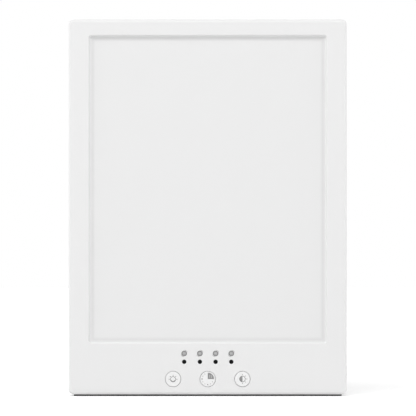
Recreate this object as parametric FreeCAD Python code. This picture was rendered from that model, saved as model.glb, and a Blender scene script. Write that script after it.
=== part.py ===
import FreeCAD, Part
import math
import os

V = FreeCAD.Vector

# Everything is in millimetres. The lamp stands on z = 0 and its light window looks towards -Y.
# x = 0 and y = 0 are the middle of the case.

# Case seen from the front
case_width = 220.0
case_height = 296.5
outline_radius = 4.0
front_edge_radius = 2.4
rear_edge_radius = 2.8
seam_chamfer = 0.3
inner_corner_radius = 1.8
front_wall = 2.8
shell_wall = 2.2

# Light window in the bezel
window_side_margin = 16.1
window_top_margin = 12.6
window_bottom_margin = 40.5
window_step = 2.6
window_land = 0.4
window_corner_radius = 2.2
window_cove_radius = 1.7
window_lip_radius = 0.6
pane_corner_radius = 1.0

# Rubber pad under the case
pad_length = 212.0
pad_width = 18.0
pad_proud = 1.3
pad_inset = 1.0
pad_end_radius = 3.0

# Panel stack behind the window, front to back
panel_overlap = 3.0
diffuser_thickness = 2.0
diffuser_radius = 2.0
guide_thickness = 3.0
guide_inset = 0.9
film_thickness = 0.3
plate_thickness = 1.0
panel_rib_gap = 0.3
panel_rib_wall = 1.5

# Light strips along both upright edges of the light guide
strip_thickness = 1.0
strip_tail = 6.0
led_rise = 0.8
led_width = 1.4
led_length = 3.0
led_gap = 0.1
led_count = 26
led_end_margin = 6.0

# Backplate
plate_bead_width = 9.0
plate_bead_rise = 1.2
plate_bead_pitch = 54.0
plate_bead_end = 24.0
plate_ear_width = 11.0
plate_flange_end_gap = 4.0

# Buttons and the switches behind them
button_rise = 12.3
button_pitch = 27.4
button_radius = 6.05
button_gap = 0.3
button_edge_chamfer = 0.2
button_flange_radius = 7.0
button_flange_thickness = 1.0
button_tab_reach = 8.0
button_tab_width = 2.6
button_stem_radius = 2.0
button_stem_length = 1.6
button_travel = 0.5
guide_collar_gap = 0.35
guide_collar_wall = 1.1
guide_collar_height = 2.6
switch_size = 6.0
switch_height = 3.5
switch_bore_spare = 0.3
plunger_radius = 1.75
plunger_proud = 0.8
plunger_depth = 1.6
plunger_clearance = 0.08

# Indicator windows
indicator_row_rise = 13.6
indicator_pitch = 12.4
indicator_count = 4
indicator_radius = 1.55
pipe_bar_half_height = 2.1
pipe_bar_thickness = 1.2
pipe_bar_end = 2.6
pipe_peg_radius = 0.8
pipe_peg_proud = 0.4
pipe_peg_gap = 0.05
pipe_led_gap = 0.5
chip_led_size = 2.0
chip_led_rise = 1.1

# Control board
board_thickness = 1.6
board_corner_cut = 9.6
board_edge_gap = 1.2
board_post_x = 63.0
board_post_inset = 4.6
board_post_radius = 2.6

# Power inlet at the lower right
jack_length = 12.4
jack_width = 9.0
jack_depth = 9.8
jack_corner_gap = 3.2
nose_radius = 4.2
nose_proud = 0.8
nose_gap = 0.2
nose_edge_chamfer = 0.4
socket_radius = 3.0
socket_depth = 9.5
inlet_pin_radius = 1.0
inlet_pin_recess = 1.0
inlet_pin_root = 3.0
inlet_pin_root_radius = 1.3
inlet_pin_chamfer = 0.3
rear_room = 1.1

# Parts standing on the back of the board
coil_radius = 6.0
coil_waist_radius = 3.6
coil_height = 6.5
coil_flange = 1.1
coil_winding_gap = 0.4
coil_place = 0.55
capacitor_radius = 4.0
capacitor_height = 8.6
capacitor_pitch = 11.0
capacitor_place = -0.5
capacitor_groove_rise = 1.5
capacitor_groove_width = 0.8
capacitor_groove_depth = 0.4
chip_height = 1.5
control_chip_size = 7.0
driver_chip_size = 4.6
driver_chip_place = 0.25
link_thickness = 0.4
link_width = 1.4
link_bend_radius = 1.2
link_reach = 5.0
link_pitch = 2.6

# Joint between the two shells
lip_height = 2.0
lip_wall = 1.1
lip_gap = 0.15

# Screws
boss_inset = 4.2
boss_radius = 4.0
post_radius = 3.2
gusset_wall = 1.5
case_screw_radius = 1.45
case_screw_length = 12.0
case_head = (2.75, 2.0)
counterbore_radius = 3.1
counterbore_depth = 5.6
small_screw_radius = 1.2
small_screw_length = 5.0
small_head = (2.3, 1.5)
screw_hole_gap = 0.2

# Kickstand and its hinge
hinge_height = 74.0
stand_angle = 47.0
stand_width = 79.2
stand_thickness = 7.0
stand_tip_radius = 8.0
stand_gap = 0.4
stand_end_gap = 0.8
stop_gap = 0.05
stand_skin = 2.0
stand_rib = 1.6
stand_side_wall = 2.4
stand_pocket_columns = 4
stand_pocket_rows = 3
stand_pocket_start = 9.0
foot_height = 5.0
foot_tenon_height = 3.0
foot_tenon_thickness = 2.6
foot_tenon_inset = 10.0
hinge_pin_radius = 1.5
hinge_pin_grip = 5.4
hinge_pin_gap = 0.05
hinge_pin_end_gap = 0.4
hinge_boss_wall = 2.6
hinge_boss_length = 8.0
washer_thickness = 0.6
washer_radius = 3.2
washer_hole_gap = 0.1

# Rear cover
scoop_width = 27.0
scoop_height = 9.0
scoop_depth = 5.4
scoop_radius = 4.4
vent_count = 13
vent_pitch = 9.4
vent_width = 3.2
vent_height = 18.0
vent_end_distance = 17.0
press_rib_x = 70.0
press_rib_wall = 1.6
press_rib_inset = 24.0

# How far cutting shapes reach past what they cut, and how deep joined shapes run into each other
past = 1.0
root_overlap = 0.5

# Points and directions that differ by less than this are the same
same_place = 1e-6

# Places that follow from the sizes above
front_y = -(
    front_wall + button_flange_thickness + button_stem_length + plunger_proud + switch_height
    + board_thickness + jack_depth + rear_room + shell_wall
) / 2
back_y = -front_y
wall_back_y = front_y + front_wall
case_bottom = pad_proud
case_top = case_bottom + case_height
half_width = case_width / 2
inner_half_width = half_width - shell_wall
inner_bottom = case_bottom + shell_wall
inner_top = case_top - shell_wall

window_half_width = half_width - window_side_margin
window_bottom = case_bottom + window_bottom_margin
window_top = case_top - window_top_margin
pane_half_width = window_half_width - window_step
pane_bottom = window_bottom + window_step
pane_top = window_top - window_step

panel_half_width = pane_half_width + panel_overlap
panel_bottom = pane_bottom - panel_overlap
panel_top = pane_top + panel_overlap
diffuser_back_y = wall_back_y + diffuser_thickness
guide_back_y = diffuser_back_y + guide_thickness
film_back_y = guide_back_y + film_thickness
plate_back_y = film_back_y + plate_thickness
guide_half_width = panel_half_width - guide_inset
strip_x = guide_half_width + led_gap + led_rise
flange_x = strip_x + strip_thickness
plate_half_width = flange_x + plate_thickness
guide_bottom = panel_bottom + guide_inset
guide_top = panel_top - guide_inset

button_z = case_bottom + button_rise
button_xs = [-button_pitch, 0.0, button_pitch]
indicator_z = button_z + indicator_row_rise
indicator_xs = [(i - (indicator_count - 1) / 2) * indicator_pitch for i in range(indicator_count)]
flange_back_y = wall_back_y + button_flange_thickness
stem_end_y = flange_back_y + button_stem_length
switch_front_y = stem_end_y + plunger_proud
board_front_y = switch_front_y + switch_height
board_back_y = board_front_y + board_thickness
board_bottom = inner_bottom + board_edge_gap
board_top = panel_bottom - plate_thickness - board_edge_gap
board_middle = (board_bottom + board_top) / 2
board_end = inner_half_width - board_edge_gap
board_half_length = board_end - board_corner_cut

post_x = inner_half_width - boss_inset
post_low_z = inner_bottom + boss_inset
post_high_z = inner_top - boss_inset
post_middle_z = (post_low_z + post_high_z) / 2
case_screw_spots = [
    (side * post_x, z)
    for side in (-1, 1)
    for z in (post_low_z, post_middle_z, post_high_z)
]
ear_low_z = (post_low_z + post_middle_z) / 2
ear_high_z = (post_middle_z + post_high_z) / 2
plate_screw_spots = [(side * post_x, z) for side in (-1, 1) for z in (ear_low_z, ear_high_z)]
board_screw_spots = [
    (side * board_post_x, z)
    for side in (-1, 1)
    for z in (board_bottom + board_post_inset, board_top - board_post_inset)
]

jack_axis_y = board_back_y + jack_depth / 2
jack_axis_z = post_low_z + boss_radius + jack_corner_gap + jack_width / 2
seam_y = jack_axis_y
post_top_y = seam_y - lip_height - lip_gap
cover_inner_y = back_y - shell_wall
head_seat_y = back_y - counterbore_depth

hinge_y = back_y - stand_thickness / 2
half_thickness = stand_thickness / 2
stand_half_width = stand_width / 2
recess_half_width = stand_half_width + washer_thickness
recess_floor_y = back_y - stand_thickness - stand_gap
lean = math.radians(stand_angle)
tip_inner = (hinge_height + half_thickness * math.sin(lean)) / math.cos(lean)
tip_outer = (hinge_height - half_thickness * math.sin(lean)) / math.cos(lean)
foot_start = tip_outer - foot_height
recess_top = hinge_height + tip_inner + stand_end_gap
fold_angle = 180.0 - stand_angle


def span(middle, size):
    """Low and high value of a stretch centred on a place."""
    return (middle - size / 2, middle + size / 2)


def block(x, y, z):
    """Box between two x, two y and two z values."""
    return Part.makeBox(x[1] - x[0], y[1] - y[0], z[1] - z[0], V(x[0], y[0], z[0]))


def rod(radius, x, z, y_from, y_to):
    """Round bar along Y."""
    return Part.makeCylinder(radius, y_to - y_from, V(x, y_from, z), V(0, 1, 0))


def cross_rod(radius, x_from, x_to, y, z):
    """Round bar along X."""
    return Part.makeCylinder(radius, x_to - x_from, V(x_from, y, z), V(1, 0, 0))


def outline(half_x, z, radius, y, x_middle=0.0):
    """Upright rectangle with round corners, in a plane square to Y."""
    near = half_x - radius
    centres = [
        (near, z[1] - radius),
        (-near, z[1] - radius),
        (-near, z[0] + radius),
        (near, z[0] + radius),
    ]
    arcs = []
    for quarter, (cx, cz) in enumerate(centres):
        angles = [math.radians(90 * quarter + part) for part in (0, 45, 90)]
        points = [
            V(x_middle + cx + radius * math.cos(a), y, cz + radius * math.sin(a)) for a in angles
        ]
        arcs.append(Part.Arc(*points).toShape())
    edges = []
    for arc, following in zip(arcs, arcs[1:] + arcs[:1]):
        edges.append(arc)
        start = arc.Vertexes[-1].Point
        end = following.Vertexes[0].Point
        if start.distanceToPoint(end) > same_place:
            edges.append(Part.LineSegment(start, end).toShape())
    return Part.Wire(edges)


def slab(half_x, z, radius, y, x_middle=0.0):
    """Plate with round corners, between two y values."""
    face = Part.Face(outline(half_x, z, radius, y[0], x_middle))
    return face.extrude(V(0, y[1] - y[0], 0))


def prism_along_x(points, x):
    """Straight-sided profile, given as y and z pairs, carried from one x to another."""
    corners = [V(x[0], y, z) for y, z in points]
    face = Part.Face(Part.makePolygon(corners + corners[:1]))
    return face.extrude(V(x[1] - x[0], 0, 0))


def joined(shapes):
    """One solid from several that touch or overlap."""
    first, *others = shapes
    return first.fuse(others).removeSplitter()


def group(shapes):
    """Separate solids kept together."""
    return Part.makeCompound(shapes)


def edges_at_y(shape, y):
    """Edges that lie wholly in the plane at y."""
    return [e for e in shape.Edges if all(abs(v.Point.y - y) < same_place for v in e.Vertexes)]


def edges_at_x(shape, x):
    """Edges that lie wholly in the plane at x."""
    return [e for e in shape.Edges if all(abs(v.Point.x - x) < same_place for v in e.Vertexes)]


def edges_along(shape, direction):
    """Straight edges that run in one direction."""
    return [
        e
        for e in shape.Edges
        if e.tangentAt(e.FirstParameter).cross(direction).Length < same_place
    ]


def pad_space(height):
    """Room for the rubber pad, from the floor up."""
    pad = Part.makeBox(pad_length, pad_width, height, V(-pad_length / 2, -pad_width / 2, 0))
    return pad.makeFillet(pad_end_radius, edges_along(pad, V(0, 0, 1)))


def jack_body_box(gap):
    """Space of the inlet's square body inside the case, with a gap all round."""
    return block(
        (inner_half_width - jack_length - gap, inner_half_width),
        (board_back_y, board_back_y + jack_depth + gap),
        span(jack_axis_z, jack_width + 2 * gap),
    )


def nose_hole():
    """Round hole for the inlet's nose through the right side wall."""
    x = (inner_half_width - past, half_width + past)
    return cross_rod(nose_radius + nose_gap, *x, seam_y, jack_axis_z)


def screw(spot, seat_y, radius, length, head):
    """Screw pointing forward, with a flat head of given radius and height behind seat_y."""
    head_radius, head_height = head
    shank = rod(radius, *spot, seat_y - length, seat_y)
    return joined([shank, rod(head_radius, *spot, seat_y, seat_y + head_height)])


def front_bezel():
    """Deep front tray with the light window, button holes, posts and ribs."""
    body = slab(half_width, (case_bottom, case_top), outline_radius, (front_y, seam_y))
    body = body.makeFillet(front_edge_radius, edges_at_y(body, front_y))
    body = body.makeChamfer(seam_chamfer, edges_at_y(body, seam_y))
    inner_z = (inner_bottom, inner_top)
    cavity_y = (wall_back_y, seam_y + past)
    body = body.cut(slab(inner_half_width, inner_z, inner_corner_radius, cavity_y))
    body = body.cut(window_space())
    mouth = FreeCAD.BoundBox(
        -window_half_width, front_y, window_bottom, window_half_width, front_y, window_top
    )
    mouth.enlarge(same_place)
    lip = [e for e in edges_at_y(body, front_y) if mouth.isInside(e.CenterOfMass)]
    body = body.makeFillet(window_lip_radius, lip)
    body = joined([body] + bezel_posts() + panel_ribs() + button_collars() + light_pipe_pegs())
    y = (front_y - past, wall_back_y)
    holes = [rod(button_radius + button_gap, x, button_z, *y) for x in button_xs]
    holes += [rod(indicator_radius, x, indicator_z, *y) for x in indicator_xs]
    holes += post_pilots()
    holes += [nose_hole(), pad_space(pad_proud + pad_inset)]
    return body.cut(holes)


def window_space():
    """Light window: an upright wall that turns in a cove to a thin land round the pane."""
    land_y = wall_back_y - window_land
    bay_z = (window_bottom, window_top)
    bay = slab(window_half_width, bay_z, window_corner_radius, (front_y, land_y))
    bay = bay.makeFillet(window_cove_radius, edges_at_y(bay, land_y))
    pane_y = (land_y - window_land, wall_back_y)
    return bay.fuse(slab(pane_half_width, (pane_bottom, pane_top), pane_corner_radius, pane_y))


def bezel_posts():
    """Screw posts for the rear cover, the backplate and the board, tied to the side walls."""
    posts = []
    for x, z in case_screw_spots + plate_screw_spots:
        top_y = post_top_y if (x, z) in case_screw_spots else film_back_y
        side = math.copysign(1, x)
        posts.append(rod(post_radius, x, z, wall_back_y, top_y))
        reach = sorted((x, side * (inner_half_width + shell_wall / 2)))
        posts.append(block(reach, (wall_back_y, top_y), span(z, gusset_wall)))
    for x, z in board_screw_spots:
        posts.append(rod(board_post_radius, x, z, wall_back_y, board_front_y))
    return posts


def post_pilots():
    """Holes that the screws bite into."""
    pilots = []
    for x, z in case_screw_spots:
        pilots.append(rod(case_screw_radius, x, z, head_seat_y - case_screw_length, post_top_y))
    for x, z in plate_screw_spots:
        pilots.append(rod(small_screw_radius, x, z, plate_back_y - small_screw_length, film_back_y))
    for x, z in board_screw_spots:
        pilots.append(rod(small_screw_radius, x, z, board_back_y - small_screw_length, board_front_y))
    return pilots


def panel_ribs():
    """Low frame of ribs that keeps the diffuser in place."""
    near_x = panel_half_width + panel_rib_gap
    low = panel_bottom - panel_rib_gap
    high = panel_top + panel_rib_gap
    y = (wall_back_y, diffuser_back_y - panel_rib_gap)
    outer = block(
        (-near_x - panel_rib_wall, near_x + panel_rib_wall),
        y,
        (low - panel_rib_wall, high + panel_rib_wall),
    )
    return [outer.cut(block((-near_x, near_x), y, (low, high)))]


def button_collars():
    """Round guides behind the button holes, slotted for the buttons' tabs."""
    inner = button_flange_radius + guide_collar_gap
    top_y = wall_back_y + guide_collar_height
    slot = button_tab_width + 2 * guide_collar_gap
    collars = []
    for x in button_xs:
        ring = rod(inner + guide_collar_wall, x, button_z, wall_back_y, top_y)
        ring = ring.cut(rod(inner, x, button_z, wall_back_y, top_y))
        reach = inner + guide_collar_wall + past
        ring = ring.cut(block((x - reach, x + reach), (wall_back_y, top_y), span(button_z, slot)))
        collars += ring.Solids
    return collars


def light_pipe_pegs():
    """Pegs between the indicator holes that carry the light pipe."""
    top_y = wall_back_y + pipe_bar_thickness + pipe_peg_proud
    return [rod(pipe_peg_radius, x, indicator_z, wall_back_y, top_y) for x in peg_xs()]


def peg_xs():
    """Places of the light pipe's pegs, halfway between its outer prongs."""
    return [(indicator_xs[0] + indicator_xs[1]) / 2, (indicator_xs[-1] + indicator_xs[-2]) / 2]


def round_button(x):
    """Button cap with a guided flange, two tabs and a short stem."""
    cap = rod(button_radius, x, button_z, front_y, wall_back_y)
    cap = cap.makeChamfer(button_edge_chamfer, edges_at_y(cap, front_y))
    y = (wall_back_y, flange_back_y)
    flange = rod(button_flange_radius, x, button_z, *y)
    reach = (x - button_tab_reach, x + button_tab_reach)
    tabs = block(reach, y, span(button_z, button_tab_width))
    stem = rod(button_stem_radius, x, button_z, flange_back_y, stem_end_y)
    return joined([cap, flange, tabs, stem])


def switch_plunger(x):
    """Plunger that stands in the switch and touches the button's stem."""
    return rod(plunger_radius, x, button_z, stem_end_y, switch_front_y + plunger_depth)


def tact_switches():
    """Three square switches on the board."""
    switches = []
    for x in button_xs:
        y = (switch_front_y, board_front_y)
        body = block(span(x, switch_size), y, span(button_z, switch_size))
        bore_end = switch_front_y + plunger_depth + button_travel + switch_bore_spare
        switches.append(body.cut(rod(plunger_radius + plunger_clearance, x, button_z, y[0], bore_end)))
    return group(switches)


def indicator_lenses():
    """Moulded light pipe: one bar with a prong behind and in front of each window."""
    bar_y = (wall_back_y, wall_back_y + pipe_bar_thickness)
    end = indicator_xs[-1] + pipe_bar_end
    bar = block((-end, end), bar_y, span(indicator_z, 2 * pipe_bar_half_height))
    prong_end = board_front_y - chip_led_rise - pipe_led_gap
    prongs = [rod(indicator_radius, x, indicator_z, front_y, prong_end) for x in indicator_xs]
    pipe = joined([bar] + prongs)
    return pipe.cut([rod(pipe_peg_radius + pipe_peg_gap, x, indicator_z, *bar_y) for x in peg_xs()])


def indicator_chips():
    """Light-emitting chips on the board behind the light pipe."""
    y = (board_front_y - chip_led_rise, board_front_y)
    z = span(indicator_z, chip_led_size)
    return group([block(span(x, chip_led_size), y, z) for x in indicator_xs])


def diffuser_panel():
    """Opal sheet seen through the window."""
    y = (wall_back_y, diffuser_back_y)
    return slab(panel_half_width, (panel_bottom, panel_top), diffuser_radius, y)


def light_guide_plate():
    """Clear plate lit from both upright edges."""
    x = (-guide_half_width, guide_half_width)
    return block(x, (diffuser_back_y, guide_back_y), (guide_bottom, guide_top))


def reflector_sheet():
    """White film behind the light guide."""
    x = (-guide_half_width, guide_half_width)
    return block(x, (guide_back_y, film_back_y), (guide_bottom, guide_top))


def panel_backplate():
    """Pressed sheet with folded sides, stiffening beads and screw ears."""
    z = (guide_bottom, guide_top)
    sheet = block((-plate_half_width, plate_half_width), (film_back_y, plate_back_y), z)
    pieces = [sheet]
    for side in (-1, 1):
        x = sorted((side * flange_x, side * plate_half_width))
        pieces.append(block(x, (diffuser_back_y, plate_back_y), z))
    end_x = guide_half_width - plate_flange_end_gap
    for low in (guide_bottom - plate_thickness, guide_top):
        y = (diffuser_back_y, plate_back_y)
        pieces.append(block((-end_x, end_x), y, (low, low + plate_thickness)))
    for x, ear_z in plate_screw_spots:
        reach = sorted((math.copysign(flange_x, x), x))
        ear_y = (film_back_y, plate_back_y)
        pieces.append(block(reach, ear_y, span(ear_z, plate_ear_width)))
        pieces.append(rod(post_radius, x, ear_z, *ear_y))
    bead_z = (guide_bottom + plate_bead_end, guide_top - plate_bead_end)
    rise = (film_back_y, plate_back_y + plate_bead_rise)
    hollow = (film_back_y, film_back_y + plate_bead_rise)
    hollows = []
    for i in (-1, 0, 1):
        x = i * plate_bead_pitch
        outer = plate_bead_width / 2
        inner = outer - plate_thickness
        pieces.append(block((x - outer, x + outer), rise, bead_z))
        inner_z = (bead_z[0] + plate_thickness, bead_z[1] - plate_thickness)
        hollows.append(block((x - inner, x + inner), hollow, inner_z))
    plate = joined(pieces).cut(hollows)
    screws = [rod(small_screw_radius, x, z, film_back_y, plate_back_y) for x, z in plate_screw_spots]
    return plate.cut(screws)


def light_strip(side):
    """Narrow board on the backplate's folded side, with a tail down to the control board."""
    x = sorted((side * strip_x, side * flange_x))
    return block(x, (diffuser_back_y, guide_back_y), (guide_bottom - strip_tail, guide_top))


def edge_lights(side):
    """Row of light-emitting chips facing the light guide's edge."""
    x = sorted((side * strip_x, side * (strip_x - led_rise)))
    y = span((diffuser_back_y + guide_back_y) / 2, led_width)
    first = guide_bottom + led_end_margin
    step = (guide_top - guide_bottom - 2 * led_end_margin) / (led_count - 1)
    return group([block(x, y, span(first + i * step, led_length)) for i in range(led_count)])


def strip_links():
    """Flat bent links that join each strip's tail to the control board."""
    middle_z = min(board_top - link_pitch, guide_bottom - strip_tail / 2)
    return group([strip_link(side, z) for side in (-1, 1) for z in span(middle_z, link_pitch)])


def strip_link(side, z):
    """One link: out of the strip's face, round a bend and down to the board."""
    face_y = (diffuser_back_y + guide_back_y) / 2
    corner_x = side * (strip_x - link_reach)
    inner_x = side * (strip_x - link_reach + link_thickness)
    depth = span(z, link_width)
    arm = block(sorted((side * strip_x, corner_x)), (face_y, face_y + link_thickness), depth)
    leg = block(sorted((corner_x, inner_x)), (face_y, board_front_y), depth)
    link = joined([arm, leg])
    corners = {
        (corner_x, face_y): link_bend_radius,
        (inner_x, face_y + link_thickness): link_bend_radius - link_thickness,
    }
    for (x, y), radius in corners.items():
        upright = edges_along(link, V(0, 0, 1))
        bend = [e for e in upright if e.CenterOfMass.distanceToPoint(V(x, y, z)) < same_place]
        link = link.makeFillet(radius, bend)
    return link


def control_board():
    """Board behind the chin, with cut corners for the case posts and screw holes."""
    y = (board_front_y, board_back_y)
    board = block((-board_end, board_end), y, (board_bottom, board_top))
    corner_z = (board_bottom - past, post_low_z + boss_radius + board_edge_gap)
    for x in ((-board_end - past, -board_half_length), (board_half_length, board_end + past)):
        board = board.cut(block(x, y, corner_z))
    return board.cut([rod(small_screw_radius, x, z, *y) for x, z in board_screw_spots])


def power_inlet():
    """Socket body on the board with a round nose through the side wall."""
    body = jack_body_box(0)
    tip_x = half_width + nose_proud
    nose = cross_rod(nose_radius, inner_half_width - past, tip_x, jack_axis_y, jack_axis_z)
    nose = nose.makeChamfer(nose_edge_chamfer, edges_at_x(nose, tip_x))
    socket = cross_rod(socket_radius, tip_x - socket_depth, tip_x + past, jack_axis_y, jack_axis_z)
    return joined([body, nose]).cut([socket, inlet_pin_foot()])


def inlet_pin_foot():
    """Thicker foot of the centre pin, held in the socket's floor."""
    floor_x = half_width + nose_proud - socket_depth
    x = (floor_x - inlet_pin_root, floor_x)
    return cross_rod(inlet_pin_root_radius, *x, jack_axis_y, jack_axis_z)


def inlet_centre_pin():
    """Round contact in the middle of the socket."""
    tip_x = half_width + nose_proud
    x = (tip_x - socket_depth, tip_x - inlet_pin_recess)
    pin = cross_rod(inlet_pin_radius, *x, jack_axis_y, jack_axis_z)
    pin = pin.makeChamfer(inlet_pin_chamfer, edges_at_x(pin, x[1]))
    return joined([pin, inlet_pin_foot()])


def coil_spot():
    """Middle of the inductor on the board."""
    return (board_half_length * coil_place, board_middle)


def inductor_core():
    """Drum-shaped core standing on the board."""
    x, z = coil_spot()
    top = board_back_y + coil_height
    return joined([
        rod(coil_radius, x, z, board_back_y, board_back_y + coil_flange),
        rod(coil_waist_radius, x, z, board_back_y, top),
        rod(coil_radius, x, z, top - coil_flange, top),
    ])


def inductor_winding():
    """Copper winding round the core's waist."""
    x, z = coil_spot()
    y = (board_back_y + coil_flange, board_back_y + coil_height - coil_flange)
    outer = rod(coil_radius - coil_winding_gap, x, z, *y)
    return outer.cut(rod(coil_waist_radius, x, z, *y))


def smoothing_capacitors():
    """Two upright cans beside each other."""
    cans = []
    low = board_back_y + capacitor_groove_rise
    high = low + capacitor_groove_width
    for x in span(board_half_length * capacitor_place, capacitor_pitch):
        waist = rod(capacitor_radius - capacitor_groove_depth, x, board_middle, low, high)
        foot = rod(capacitor_radius, x, board_middle, board_back_y, low)
        can = rod(capacitor_radius, x, board_middle, high, board_back_y + capacitor_height)
        cans.append(joined([foot, waist, can]))
    return group(cans)


def board_chips():
    """Control chip and two driver chips on the back of the board."""
    y = (board_back_y, board_back_y + chip_height)
    chips = [block(span(0, control_chip_size), y, span(board_middle, control_chip_size))]
    for x in span(0, 2 * board_half_length * driver_chip_place):
        chips.append(block(span(x, driver_chip_size), y, span(board_middle, driver_chip_size)))
    return group(chips)


def base_pad():
    """Rubber pad in a groove under both shells."""
    return pad_space(pad_proud + pad_inset)


def recess_profile(gap):
    """Side view of the kickstand's recess: floor, relief round the hinge and sloped stop."""
    radius = half_thickness + stand_gap
    out_y = math.sin(lean)
    down_z = -math.cos(lean)
    stop_offset = half_thickness + stop_gap
    foot_y = hinge_y - stop_offset * math.cos(lean)
    foot_z = hinge_height - stop_offset * math.sin(lean)
    along = math.sqrt(radius**2 - stop_offset**2)
    relief_end = V(0, foot_y + along * out_y, foot_z + along * down_z)
    reach = (back_y + past - foot_y) / out_y
    stop_end = V(0, back_y + past, foot_z + reach * down_z)
    floor_low = V(0, recess_floor_y, hinge_height)
    floor_high = V(0, recess_floor_y, recess_top)
    mouth_high = V(0, back_y + past, recess_top)
    relief_start_angle = math.pi
    relief_end_angle = math.atan2(relief_end.z - hinge_height, relief_end.y - hinge_y) % (2 * math.pi)
    middle_angle = (relief_start_angle + relief_end_angle) / 2
    relief_middle = V(
        0,
        hinge_y + radius * math.cos(middle_angle),
        hinge_height + radius * math.sin(middle_angle),
    )
    wire = Part.Wire([
        Part.Arc(floor_low, relief_middle, relief_end).toShape(),
        Part.LineSegment(relief_end, stop_end).toShape(),
        Part.LineSegment(stop_end, mouth_high).toShape(),
        Part.LineSegment(mouth_high, floor_high).toShape(),
        Part.LineSegment(floor_high, floor_low).toShape(),
    ])
    if gap:
        wire = wire.makeOffset2D(gap, 2)
    return wire


def recess_solid(gap):
    """The recess grown by a gap on every side."""
    half = recess_half_width + gap
    solid = Part.Face(recess_profile(gap)).extrude(V(2 * half, 0, 0))
    solid.translate(V(-half, 0, 0))
    middle_z = solid.BoundBox.Center.z
    corners = [e for e in edges_along(solid, V(0, 1, 0)) if e.CenterOfMass.z > middle_z]
    return solid.makeFillet(stand_tip_radius + stand_gap + gap, corners)


def finger_scoop(gap):
    """Shallow hollow above the folded stand's tip for a fingertip, grown by a gap."""
    low = recess_top - 2 * scoop_radius
    high = recess_top + scoop_height + gap
    radius = scoop_radius + gap
    depth = (back_y - scoop_depth - gap, back_y + past)
    return slab(scoop_width / 2 + gap, (low - gap, high), radius, depth)


def vent_slots():
    """Two rows of upright slots, one above the stand and one behind the board."""
    slots = []
    y = (cover_inner_y - past, back_y + past)
    low_z = case_bottom + vent_end_distance
    high_z = case_top - vent_end_distance - vent_height
    for z in (low_z, high_z):
        for i in range(vent_count):
            x = (i - (vent_count - 1) / 2) * vent_pitch
            slots.append(block(span(x, vent_width), y, (z, z + vent_height)))
    return slots


def hinge_bosses():
    """Round bosses inside the cover that hold the hinge pins."""
    radius = hinge_pin_radius + hinge_boss_wall
    start = recess_half_width
    bosses = []
    for side in (-1, 1):
        x = sorted((side * start, side * (start + shell_wall + hinge_boss_length)))
        bosses.append(cross_rod(radius, x[0], x[1], hinge_y, hinge_height))
        web = block(x, (hinge_y, cover_inner_y + root_overlap), span(hinge_height, 2 * radius))
        bosses.append(web)
    return bosses


def rear_cover():
    """Rear shell with the stand's recess, vents, screw bosses and a locating lip."""
    outer_z = (case_bottom, case_top)
    body = slab(half_width, outer_z, outline_radius, (seam_y, back_y))
    body = body.makeFillet(rear_edge_radius, edges_at_y(body, back_y))
    body = body.makeChamfer(seam_chamfer, edges_at_y(body, seam_y))
    limit = slab(half_width, outer_z, outline_radius, (plate_back_y, back_y))
    limit = limit.makeFillet(rear_edge_radius, edges_at_y(limit, back_y))
    inner_z = (inner_bottom, inner_top)
    body = body.cut(slab(inner_half_width, inner_z, inner_corner_radius, (seam_y - past, cover_inner_y)))
    features = [recess_solid(shell_wall), finger_scoop(shell_wall)] + hinge_bosses()
    root_y = cover_inner_y + root_overlap
    features += [rod(boss_radius, x, z, post_top_y, root_y) for x, z in case_screw_spots]
    for side in (-1, 1):
        x = span(side * press_rib_x, press_rib_wall)
        rib_z = (guide_bottom + press_rib_inset, guide_top - press_rib_inset)
        features.append(block(x, (plate_back_y, root_y), rib_z))
    features.append(locating_lip())
    features = [f.common(limit) for f in features]
    body = joined([body] + features)
    cuts = [recess_solid(0), finger_scoop(0), nose_hole(), pad_space(pad_proud + pad_inset)]
    cuts += vent_slots()
    for x, z in case_screw_spots:
        cuts.append(rod(case_screw_radius + screw_hole_gap, x, z, post_top_y, head_seat_y))
        cuts.append(rod(counterbore_radius, x, z, head_seat_y, back_y + past))
    for side in (-1, 1):
        x = sorted((side * recess_half_width, side * pin_outer_x()))
        cuts.append(cross_rod(hinge_pin_radius, x[0], x[1], hinge_y, hinge_height))
    return body.cut(cuts)


def locating_lip():
    """Thin wall that stands inside the bezel's rim, open where the inlet sits."""
    half = inner_half_width - lip_gap
    z = (inner_bottom + lip_gap, inner_top - lip_gap)
    y = (seam_y - lip_height, seam_y + lip_height)
    wall = slab(half, z, inner_corner_radius - lip_gap, (y[0], seam_y))
    root_z = (inner_bottom - root_overlap, inner_top + root_overlap)
    wall = wall.fuse(slab(inner_half_width + root_overlap, root_z, inner_corner_radius, (seam_y, y[1])))
    core_radius = inner_corner_radius - lip_gap - lip_wall
    core = slab(half - lip_wall, (z[0] + lip_wall, z[1] - lip_wall), core_radius, y)
    return wall.cut(core).cut(jack_body_box(lip_gap * 2))


def pin_outer_x():
    """Outer end of a hinge pin."""
    return recess_half_width + shell_wall + hinge_boss_length


def hinge_pins():
    """Two steel pins pressed into the cover's bosses."""
    pins = []
    for side in (-1, 1):
        x = sorted((side * (stand_half_width - hinge_pin_grip), side * pin_outer_x()))
        pins.append(cross_rod(hinge_pin_radius, x[0], x[1], hinge_y, hinge_height))
    return group(pins)


def friction_washers():
    """Washers between the kickstand's ends and the recess's side walls."""
    washers = []
    for side in (-1, 1):
        x = sorted((side * stand_half_width, side * recess_half_width))
        ring = cross_rod(washer_radius, x[0], x[1], hinge_y, hinge_height)
        hole = cross_rod(hinge_pin_radius + washer_hole_gap, x[0], x[1], hinge_y, hinge_height)
        washers.append(ring.cut(hole))
    return group(washers)


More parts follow.
